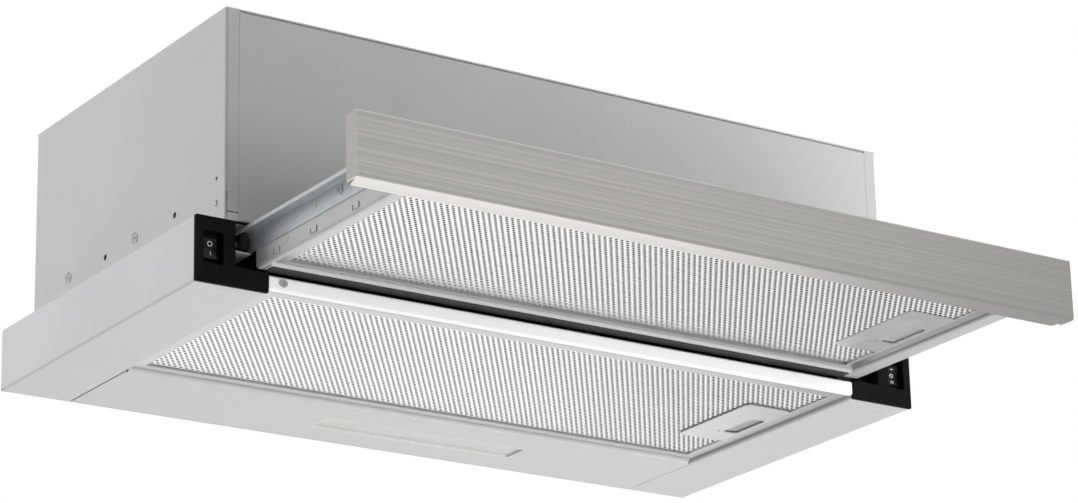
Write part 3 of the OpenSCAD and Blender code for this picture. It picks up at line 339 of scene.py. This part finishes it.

# nodes in copies of their slot's aluminium: the frames darker and rougher, and the visor's handle
# plate lighter, a painted light that lifts the shade falling on it under the visor's panel
rolled_frame = aluminium("filter_rolled_edge", (0.55, 0.55, 0.55), 0.32)
own_finishes = {
    "lower_filter_frame": rolled_frame,
    "visor_filter_frame": rolled_frame,
    # painted light: a lighter copy of the plate aluminium, lifting the shade under the visor's
    # panel
    "visor_filter_handle": aluminium("visor_plate_painted_light", (0.74, 0.74, 0.74), 0.28),
}

for part in frame["record"]["subparts"]:
    node = frame["nodes"][part["node"]]
    finish = own_finishes.get(part["node"], finishes[part["material_slot"]])
    node.data.materials.clear()
    node.data.materials.append(finish.material)


# ---------- shapes ----------

def skin(points, wrap_rows=False, wrap_columns=False, keep=None):
    """Quads between neighbouring points of a grid. Rows i and columns j give the corners
    (i, j), (i, j+1), (i+1, j+1), (i+1, j); keep is a mask of the quads that stay."""
    rows, columns = points.shape[:2]
    index = np.arange(rows * columns).reshape(rows, columns)
    if wrap_rows:
        index = np.concatenate([index, index[:1]], 0)
    if wrap_columns:
        index = np.concatenate([index, index[:, :1]], 1)
    quads = np.stack([index[:-1, :-1], index[:-1, 1:], index[1:, 1:], index[1:, :-1]], -1)
    return quads[keep] if keep is not None else quads.reshape(-1, 4)


def piece(name, points, quads, slot, body):
    """An object of that surface, in the row frame, with its record slot and its body."""
    used, new = np.unique(quads, return_inverse=True)
    mesh = bpy.data.meshes.new(name)
    mesh.from_pydata(points.reshape(-1, 3)[used], [], new.reshape(quads.shape))
    mesh.materials.append(finishes[slot].material)
    obj = bpy.data.objects.new(name, mesh)
    bpy.context.scene.collection.objects.link(obj)
    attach(obj, body)
    return obj


# Fine expanded mesh, in millimetres
STEP = 4.494            # from one opening to the next along a row
ROW = 3.1               # from one row to the next
OPENING = (1.28, 1.06)  # half width and half depth of an opening
RIM = 0.2               # how far an opening's rim lies behind the strands' crests
WALL = 0.12             # depth of an opening's wall behind its rim
HOOK = 3.0              # how far a filter's hooks stand out on its left
EDGE = 10.0             # width of a filter's right edge
SAG_RUN = 36.0          # length over which a sheet comes down from its rear end
TUCK = 5.0              # width along the other sides over which it turns back up
PLATE_LAP = 3.0         # how far the face sheet goes on below the handle plate
LEFT_LAP = 3.5          # how far both sheets go on below the frame's left edge
RIGHT_LAP = 0.5         # below its right edge
END_LAP = 1.5           # and below its front and rear edges
BACK_Z = 7.0            # from the frame's underside to the back sheet
CORE_LAP = 0.5          # how far the inner layers go on below the left and right edges
CORE_GAP = 1.0          # from the face sheet to the lower inner layer
CORE_TOP = 5.8          # from the frame's underside to the upper inner layer
CUP_REACH = 38.6        # how far the latch cup reaches in from the filter's right side
CUP_HALF = 21.5         # half its length
CUP_BACK = 4.0          # how far its middle lies behind the handle's


def expanded_sheet(name, low, high, z, up, gap, depths, sag, body):
    """Openings in a triangular lattice: every other row is set over by half a pitch. Round
    each opening run the corners and edge middles of its rectangle, then the oval rim, then
    the foot of its wall, each as far behind the strands as depths says. The sheet
    comes down by sag along a parabola from its rear end, and along its other sides half of
    that goes back. Cells in the gap, from an x to the right and by half a length to both
    sides of a y, are left out, and equal points are made one."""
    columns = int(np.ceil((high[0] - low[0]) / STEP))
    rows = int(round((high[1] - low[1]) / ROW))
    row = (high[1] - low[1]) / rows
    j, i = np.mgrid[:rows, :columns]
    x = low[0] + (i + 0.5 + (j % 2) / 2) * STEP
    y = low[1] + (j + 0.5) * row
    free = ~((x > gap[0]) & (abs(y - gap[1]) < gap[2]))
    centre = np.stack([x[free], y[free]], -1)
    turn = np.arange(8) * pi / 4
    oval = np.stack([np.cos(turn), np.sin(turn)], -1)
    frame_points = np.sign(np.round(oval, 6)) * np.array([STEP, row]) / 2
    rings = [frame_points, oval * OPENING, oval * OPENING][:len(depths)]
    points = np.zeros((len(centre), len(rings), 8, 3))
    for ring, (outline, depth) in enumerate(zip(rings, depths)):
        points[:, ring, :, :2] = centre[:, None] + outline
        points[:, ring, :, 2] = z + up * depth
    from_sides = np.minimum(points[..., 0] - low[0], high[0] - points[..., 0])
    from_sides = np.minimum(from_sides, points[..., 1] - low[1])
    rear = 1 - np.clip((high[1] - points[..., 1]) / SAG_RUN, 0, 1)
    tuck = 1 - np.clip(from_sides / TUCK, 0, 1)
    points[..., 2] -= sag * (1 - rear ** 2) * (1 - 0.5 * tuck ** 2)
    index = np.arange(points[..., 0].size).reshape(points.shape[:3])
    after = np.roll(index, -1, 2)
    quads = np.stack([index[:, :-1], after[:, :-1], after[:, 1:], index[:, 1:]], -1).reshape(-1, 4)
    single, same = np.unique(np.round(points.reshape(-1, 3), 3), axis=0, return_inverse=True)
    quads = same.reshape(-1)[quads]
    return piece(name, single * MM, quads[:, ::-1] if up > 0 else quads, "mesh_aluminium", body)


def box_mm(node):
    """The low and high corner of a node's box, in millimetres."""
    return [np.array(corner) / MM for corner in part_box(node)]


def filter_pack(title, body, left_edge, end_edge, handle_y, recess, sag):
    """The mesh pack of one filter: a fine sheet below, inner layers painted near black as the shade
    between the layers, a sheet on top.
    """
    box_low, box_high = box_mm(title + "_frame")
    left = box_low[0] + HOOK + left_edge
    right = box_high[0] - EDGE
    low = [left - LEFT_LAP, box_low[1] + end_edge - END_LAP]
    high = [right + RIGHT_LAP, box_high[1] - end_edge + END_LAP]
    z = box_low[2]
    cup = [box_high[0] - CUP_REACH, handle_y + CUP_BACK + HOOD_Y, CUP_HALF]
    plate_low, plate_high = box_mm(title + "_handle")
    plate = [plate_low[0] + PLATE_LAP, (plate_low[1] + plate_high[1]) / 2,
             (plate_high[1] - plate_low[1]) / 2 - PLATE_LAP]
    face = expanded_sheet(title + "_mesh_face", low, high, z + recess, 1, plate,
                          (0.0, RIM, RIM + WALL), sag, body)
    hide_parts(title + "_mesh")
    back = expanded_sheet(title + "_mesh_back", low, high, z + BACK_Z, -1, cup, (0.0, RIM), 0.0,
                          body)
    # the inner layers leave the latch cup free
    spans_x = [left - CORE_LAP, cup[0], right + CORE_LAP]
    spans_y = [low[1], cup[1] - CUP_HALF, cup[1] + CUP_HALF, high[1]]
    grid = np.stack(np.meshgrid(spans_x, spans_y), -1)
    layers = [np.dstack([grid, np.full(grid.shape[:2], height)])
              for height in (z + recess + CORE_GAP, z + CORE_TOP)]
    keep = np.ones((3, 2), bool)
    keep[1, 1] = False
    quads = skin(layers[0], keep=keep)
    points = np.concatenate([layer.reshape(-1, 3) for layer in layers])
    quads = np.concatenate([quads[:, ::-1], quads + layers[0][..., 0].size])
    # the inner layers' near-black finish is painted shade, the shadow between the filter's layers
    core = piece(title + "_mesh_core", points * MM, quads, "mesh_core", body)


LOWER_HANDLE_Y = 103.0  # the handles' middles, from the casing's front plane
VISOR_HANDLE_Y = -94.0
filter_pack("lower_filter", "hood", left_edge=10.0, end_edge=10.0, handle_y=LOWER_HANDLE_Y,
            recess=1.5, sag=0.0)
filter_pack("visor_filter", "visor", left_edge=8.5, end_edge=4.0, handle_y=VISOR_HANDLE_Y,
            recess=2.8, sag=2.1)


# The latches' finger dishes, in millimetres
DISH_REACH = 22.5       # from the filter's right side to a dish's inner side
DISH_HALF = 18.2        # half its length
DISH_RIM = 1.72         # from the frame's underside to its rim
DISH_FADE = 0.42        # the share of each half over which it fades
DISH_ACROSS = np.array([0.0, 1.2, 1.9, 2.6, 3.6, 5.5, 7.5, 9.3, 10.5, 11.4])
DISH_DEPTH = np.array([0.0, 0.0, 1.5, 1.9, 1.75, 1.25, 0.7, 0.25, 0.0, 0.0])


def finger_dish(name, title, handle_y, body):
    """The latch's soft finger dish. Across, its depth rises steeply at the inner side and
    falls evenly to the outer one; along, it fades to nothing at both ends as a sine."""
    box_low, box_high = box_mm(title + "_frame")
    inner = box_high[0] - DISH_REACH
    along = np.linspace(-1, 1, 25)
    fade = np.sin(np.clip((1 - np.abs(along)) / DISH_FADE, 0, 1) * pi / 2)
    middle = handle_y + CUP_BACK + HOOD_Y
    x, y = np.meshgrid(inner + DISH_ACROSS, middle + along * DISH_HALF)
    z = box_low[2] + DISH_RIM + fade[:, None] * DISH_DEPTH
    points = np.stack([x, y, z], -1)
    # the dish's darker grey is partly painted shade of the recess
    dish = piece(name, points * MM, skin(points)[:, ::-1], "latch_grey", body)
    return dish


finger_dish("lower_latch_dish", "lower_filter", LOWER_HANDLE_Y, "lower_latch")
finger_dish("visor_latch_dish", "visor_filter", VISOR_HANDLE_Y, "visor_latch")


# ---------- switch marks ----------

# The rockers, in millimetres
ROCKER_X = 285.5        # their axes
ROCKER_Y = 8.0
ROCKER_Z = 24.75
ROCKER_FACE = 2.8       # from the axis to the middle of the face
ROCKER_RISE = 1.2       # how much further out the face's two ends are
ROCKER_HALF = 7.6       # half the face's height
MARK_PROUD = 0.05       # how far a mark stands off the face


def on_rocker(side, tilt, across, up):
    """Points of a rocker's face: y follows the face's shallow V, then all turns with the tilt."""
    y = -ROCKER_FACE - ROCKER_RISE * np.abs(up) / ROCKER_HALF - MARK_PROUD
    turned_y = y * cos(tilt) - up * sin(tilt)
    turned_z = y * sin(tilt) + up * cos(tilt)
    x = side * ROCKER_X + across
    return np.stack([x, ROCKER_Y + HOOD_Y + turned_y, ROCKER_Z + turned_z], -1) * MM


def ring_mark(name, side, tilt, z, radius, width, body):
    """An O: a flat ring, angle by radius."""
    angle = np.linspace(0, 2 * pi, 32, endpoint=False)[:, None]
    r = radius + np.array([-0.5, 0.5]) * width
    points = on_rocker(side, tilt, r * np.cos(angle), z + r * np.sin(angle))
    mark = piece(name, points, skin(points, wrap_rows=True)[:, ::-1], "mark_white", body)
    return mark


def bar_mark(name, side, tilt, centre, size, body):
    """An I: a flat bar, across by up."""
    x = centre[0] + np.array([-0.5, 0.5]) * size[0]
    z = centre[1] + np.linspace(-0.5, 0.5, 3) * size[1]
    across, up = np.meshgrid(x, z)
    points = on_rocker(side, tilt, across, up)
    return piece(name, points, skin(points), "mark_white", body)


LEFT_TILT = radians(-8)
ring_mark("rocker_left_mark_o", -1, LEFT_TILT, z=3.6, radius=1.6, width=0.5, body="rocker_left")
bar_mark("rocker_left_mark_i", -1, LEFT_TILT, centre=(0, -3.6), size=(0.5, 3.0),
         body="rocker_left")
bar_mark("rocker_right_mark_i", 1, 0, centre=(0, 4.8), size=(2.8, 0.55), body="rocker_right")
ring_mark("rocker_right_mark_o", 1, 0, z=0, radius=1.3, width=0.5, body="rocker_right")
for word, z in (("upper", -4.3), ("lower", -5.5)):
    bar_mark("rocker_right_mark_ii_" + word, 1, 0, centre=(0, z), size=(2.8, 0.5),
             body="rocker_right")


# ---------- small pressed forms ----------

PAD_SUNK = 0.02         # how far a pad's rim lies inside its wall, in millimetres


def pressed_pad(name, side, x, y, z, length, height, rise, slot, body):
    """A pressed rounded pad on an upright wall: rows step from the rim to the crown, and the
    columns run round a rounded rectangle, a superellipse of power four."""
    angle = np.linspace(0, 2 * pi, 40, endpoint=False)
    unit_y = np.sign(np.cos(angle)) * np.abs(np.cos(angle)) ** 0.5
    unit_z = np.sign(np.sin(angle)) * np.abs(np.sin(angle)) ** 0.5
    shrink = np.array([0.0, 0.25, 0.55, 0.8, 1.0])[:, None]
    lift = np.array([0.0, 0.35, 0.85, 1.0, 1.0])[:, None]
    scale = np.array([length, height]) / 2 - shrink
    points = np.stack([x + side * (rise * lift - PAD_SUNK) + 0 * angle,
                       y + HOOD_Y + scale[:, :1] * unit_y, z + scale[:, 1:] * unit_z], -1)
    centre = points[-1].mean(0)
    points = np.concatenate([points, np.broadcast_to(centre, (1, len(angle), 3))])
    quads = skin(points, wrap_columns=True)
    pad = piece(name, points * MM, quads if side < 0 else quads[:, ::-1], slot, body)
    return pad


for side, word in ((-1, "left"), (1, "right")):
    pressed_pad("tray_pad_" + word, side, x=side * 252.0, y=-31.5, z=25.0, length=17.0,
                height=4.5, rise=0.45, slot="tray_sheet", body="visor")


# ---------- camera ----------

# found by fitting the photo's straight edges: place in metres, angles in degrees
CAMERA_AT = (-1.38039, -2.03903, -0.75925)
YAW = radians(34.17)
PITCH = radians(18.93)
ROLL = radians(-1.34)
LENS = 122.46
SENSOR = 36

forward = np.array([sin(YAW) * cos(PITCH), cos(YAW) * cos(PITCH), sin(PITCH)])
level = np.array([cos(YAW), -sin(YAW), 0])
upward = np.cross(level, forward)
right = cos(ROLL) * level + sin(ROLL) * upward
top = -sin(ROLL) * level + cos(ROLL) * upward

camera = bpy.data.objects.new("photo_camera", bpy.data.cameras.new("photo_camera"))
camera.data.lens = LENS
camera.data.sensor_width = SENSOR
camera.data.clip_end = 100
camera.matrix_world = Matrix(((right[0], top[0], -forward[0], CAMERA_AT[0]),
                              (right[1], top[1], -forward[1], CAMERA_AT[1]),
                              (right[2], top[2], -forward[2], CAMERA_AT[2]),
                              (0, 0, 0, 1)))
bpy.context.scene.collection.objects.link(camera)
bpy.context.scene.camera = camera
bpy.context.scene.view_settings.view_transform = "Standard"


# ---------- studio ----------

def soft_box(name, at, towards, size, watts):
    """A square area light that looks from one point to another."""
    lamp = bpy.data.lights.new(name, "AREA")
    lamp.shape = "SQUARE"
    lamp.size = size
    lamp.energy = watts
    obj = bpy.data.objects.new(name, lamp)
    look = np.array(towards, float) - np.array(at, float)
    obj.rotation_euler = Vector(look).to_track_quat("-Z", "Y").to_euler()
    obj.location = at
    obj.visible_camera = False
    bpy.context.scene.collection.objects.link(obj)
    return obj


# the surround as a light: its grey at stops of the direction's part along X, and the least
# grey that it has from one part along Y to another, towards the back
SURROUND = ((-1.0, 0.3), (-0.6, 0.24), (-0.3, 0.06), (0.3, 0.08), (0.48, 0.9), (0.62, 0.84),
            (0.71, 0.05))
BEHIND = ((-0.1, 0.0), (0.35, 0.62))

# soft lights that reflections don't show: name, place, aim, size in metres, watts
SOFT_LIGHTS = (
    ("key_right", (1.0, -0.45, 0.45), (0.2, 0.0, 0.1), 0.8, 8),
    ("side_left", (-2.0, 1.2, 1.0), (0.0, 0.2, 0.1), 2.0, 44),
    ("front_low", (0.75, -0.95, -0.95), (0.0, 0.0, 0.0), 1.2, 14),
    ("front_far", (0.6, -3.0, -0.5), (0.0, 0.0, 0.0), 1.0, 27),
)
FLOOR_Z = -2.6          # far below the hood, so that it can be seen from below
FLOOR_HALF = 30.0


def studio_world():
    """A white surround for the camera. As a light it is dim in front and brighter behind."""
    world = bpy.data.worlds.new("studio_surround")
    bpy.context.scene.world = world
    world.use_nodes = True
    tree = world.node_tree
    tree.nodes.clear()
    seen = tree.nodes.new("ShaderNodeBackground")
    light = tree.nodes.new("ShaderNodeBackground")
    seen.inputs["Color"].default_value = (1, 1, 1, 1)
    direction = tree.nodes.new("ShaderNodeTexCoord")
    parts = tree.nodes.new("ShaderNodeSeparateXYZ")
    spread = tree.nodes.new("ShaderNodeMapRange")
    spread.inputs["From Min"].default_value = -1
    fall = tree.nodes.new("ShaderNodeValToRGB")
    stops = fall.color_ramp.elements
    while len(stops) < len(SURROUND):
        stops.new(1.0)
    for stop, (along, grey) in zip(stops, SURROUND):
        stop.position = (along + 1) / 2
        stop.color = (grey, grey, grey, 1)
    behind = tree.nodes.new("ShaderNodeMapRange")
    for limit, value in zip(("From Min", "To Min", "From Max", "To Max"), BEHIND[0] + BEHIND[1]):
        behind.inputs[limit].default_value = value
    brighter = tree.nodes.new("ShaderNodeMath")
    brighter.operation = "MAXIMUM"
    path = tree.nodes.new("ShaderNodeLightPath")
    choose = tree.nodes.new("ShaderNodeMixShader")
    output = tree.nodes.new("ShaderNodeOutputWorld")
    tree.links.new(direction.outputs["Generated"], parts.inputs[0])
    tree.links.new(parts.outputs["X"], spread.inputs["Value"])
    tree.links.new(spread.outputs[0], fall.inputs[0])
    tree.links.new(parts.outputs["Y"], behind.inputs["Value"])
    tree.links.new(fall.outputs[0], brighter.inputs[0])
    tree.links.new(behind.outputs[0], brighter.inputs[1])
    tree.links.new(brighter.outputs[0], light.inputs["Color"])
    tree.links.new(path.outputs["Is Camera Ray"], choose.inputs[0])
    tree.links.new(light.outputs[0], choose.inputs[1])
    tree.links.new(seen.outputs[0], choose.inputs[2])
    tree.links.new(choose.outputs[0], output.inputs[0])


studio_world()
for name, at, towards, size, watts in SOFT_LIGHTS:
    soft_box(name, at, towards, size, watts).visible_glossy = False
soft_box("backdrop", (0.4, 2.5, -0.75), (0.0, 0.0, 0.0), 3.2, 26)

floor_finish = powder_coat("studio_floor", (0.9, 0.9, 0.9), 0.7)
floor_mesh = bpy.data.meshes.new("studio_floor")
corners = np.array([(-1, -1), (1, -1), (1, 1), (-1, 1)]) * FLOOR_HALF
floor_mesh.from_pydata(np.c_[corners, [FLOOR_Z] * 4], [], [(0, 1, 2, 3)])
floor_mesh.materials.append(floor_finish.material)
floor = bpy.data.objects.new("studio_floor", floor_mesh)
bpy.context.scene.collection.objects.link(floor)
